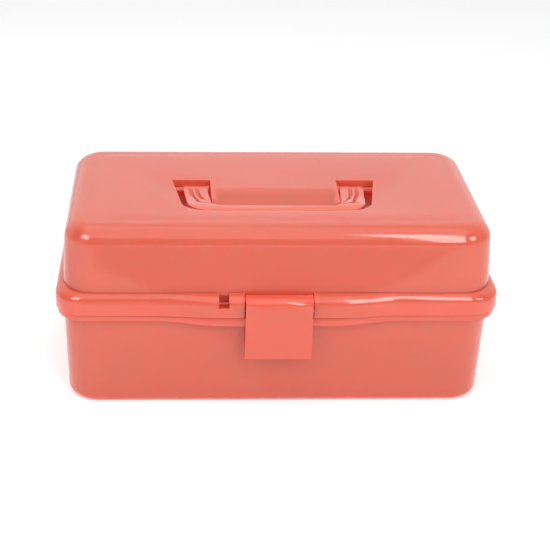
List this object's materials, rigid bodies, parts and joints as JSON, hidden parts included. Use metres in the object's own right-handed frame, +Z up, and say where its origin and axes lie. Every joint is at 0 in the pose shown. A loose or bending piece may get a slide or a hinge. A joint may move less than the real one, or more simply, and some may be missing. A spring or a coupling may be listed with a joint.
{
  "type": "sewing bobbin box",
  "caption": "Rectangular plastic sewing box with a hinged domed lid, a folding top handle, a front snap latch and stepped bobbin trays that lift out with the lid.",
  "frame": {"origin": "centre of the footprint, on the surface the box stands on", "axes": "+X along the box's length to its right, +Y to the back where the lid's hinges are, -Y the front with the latch, +Z up"},
  "size_m": [0.325, 0.192, 0.1422],
  "materials": {
    "coral_plastic": "smooth glossy moulded plastic, coral",
    "frosted_plastic": "satin, milky white moulded plastic",
    "steel": "plain drawn steel wire and plated screws"
  },
  "bodies": {
    "base": {"base_tub": "coral_plastic", "hinge_pin_left": "steel", "hinge_pin_right": "steel", "arm_base_pin_left": "frosted_plastic", "arm_base_pin_right": "frosted_plastic"},
    "lid": {"lid_shell": "coral_plastic", "latch_pin": "coral_plastic", "lid_bracket_left": "frosted_plastic", "lid_bracket_right": "frosted_plastic", "lower_bracket_rivet_left": "frosted_plastic", "lower_bracket_rivet_right": "frosted_plastic", "upper_bracket_rivet_left": "frosted_plastic", "upper_bracket_rivet_right": "frosted_plastic", "bracket_screw_1_left": "steel", "bracket_screw_1_right": "steel", "bracket_screw_2_left": "steel", "bracket_screw_2_right": "steel"},
    "handle": {"handle": "coral_plastic"},
    "latch": {"latch": "coral_plastic"},
    "upper_tray": {"upper_tray": "frosted_plastic", "upper_long_divider": "frosted_plastic", "upper_front_divider_1": "frosted_plastic", "upper_front_divider_2": "frosted_plastic", "upper_front_divider_3": "frosted_plastic", "upper_front_divider_4": "frosted_plastic", "upper_front_divider_5": "frosted_plastic", "upper_front_divider_6": "frosted_plastic", "upper_front_divider_7": "frosted_plastic", "upper_front_divider_8": "frosted_plastic", "upper_front_divider_9": "frosted_plastic", "upper_back_divider_1": "frosted_plastic", "upper_back_divider_2": "frosted_plastic"},
    "lower_tray": {"lower_tray": "frosted_plastic", "lower_long_divider": "frosted_plastic", "lower_back_divider_1": "frosted_plastic", "lower_back_divider_2": "frosted_plastic", "lower_back_divider_3": "frosted_plastic"},
    "arm_left": {"front_arm_left": "frosted_plastic", "lower_arm_rivet_left": "frosted_plastic", "upper_arm_rivet_left": "frosted_plastic"},
    "arm_right": {"front_arm_right": "frosted_plastic", "lower_arm_rivet_right": "frosted_plastic", "upper_arm_rivet_right": "frosted_plastic"}
  },
  "joints": [
    {"name": "lid_hinge", "type": "hinge", "parent": "base", "child": "lid", "pos_m": [0, 0.09325, 0.0765], "axis": [-1, 0, 0], "range_deg": [0, 100]},
    {"name": "latch_hinge", "type": "hinge", "parent": "lid", "child": "latch", "pos_m": [0, -0.0872, 0.089], "axis": [-1, 0, 0], "range_deg": [0, 80]},
    {"name": "handle_fold", "type": "hinge", "parent": "lid", "child": "handle", "pos_m": [0, 0.0056, 0.1354], "axis": [-1, 0, 0], "range_deg": [0, 95]},
    {"name": "upper_tray_hinge", "type": "hinge", "parent": "lid", "child": "upper_tray", "pos_m": [0, 0.00325, 0.098], "axis": [-1, 0, 0], "range_deg": [-100, 0]},
    {"name": "lower_tray_hinge", "type": "hinge", "parent": "lid", "child": "lower_tray", "pos_m": [0, 0.04175, 0.0695], "axis": [-1, 0, 0], "range_deg": [-100, 0]},
    {"name": "arm_left_hinge", "type": "hinge", "parent": "base", "child": "arm_left", "pos_m": [-0.1492, 0.027, 0.07], "axis": [-1, 0, 0], "range_deg": [0, 100]},
    {"name": "arm_right_hinge", "type": "hinge", "parent": "base", "child": "arm_right", "pos_m": [0.1492, 0.027, 0.07], "axis": [-1, 0, 0], "range_deg": [0, 100]}
  ],
  "couplings": [
    {"joint": "upper_tray_hinge", "follows": "lid_hinge", "ratio": -1},
    {"joint": "lower_tray_hinge", "follows": "lid_hinge", "ratio": -1},
    {"joint": "arm_left_hinge", "follows": "lid_hinge", "ratio": 1},
    {"joint": "arm_right_hinge", "follows": "lid_hinge", "ratio": 1}
  ]
}
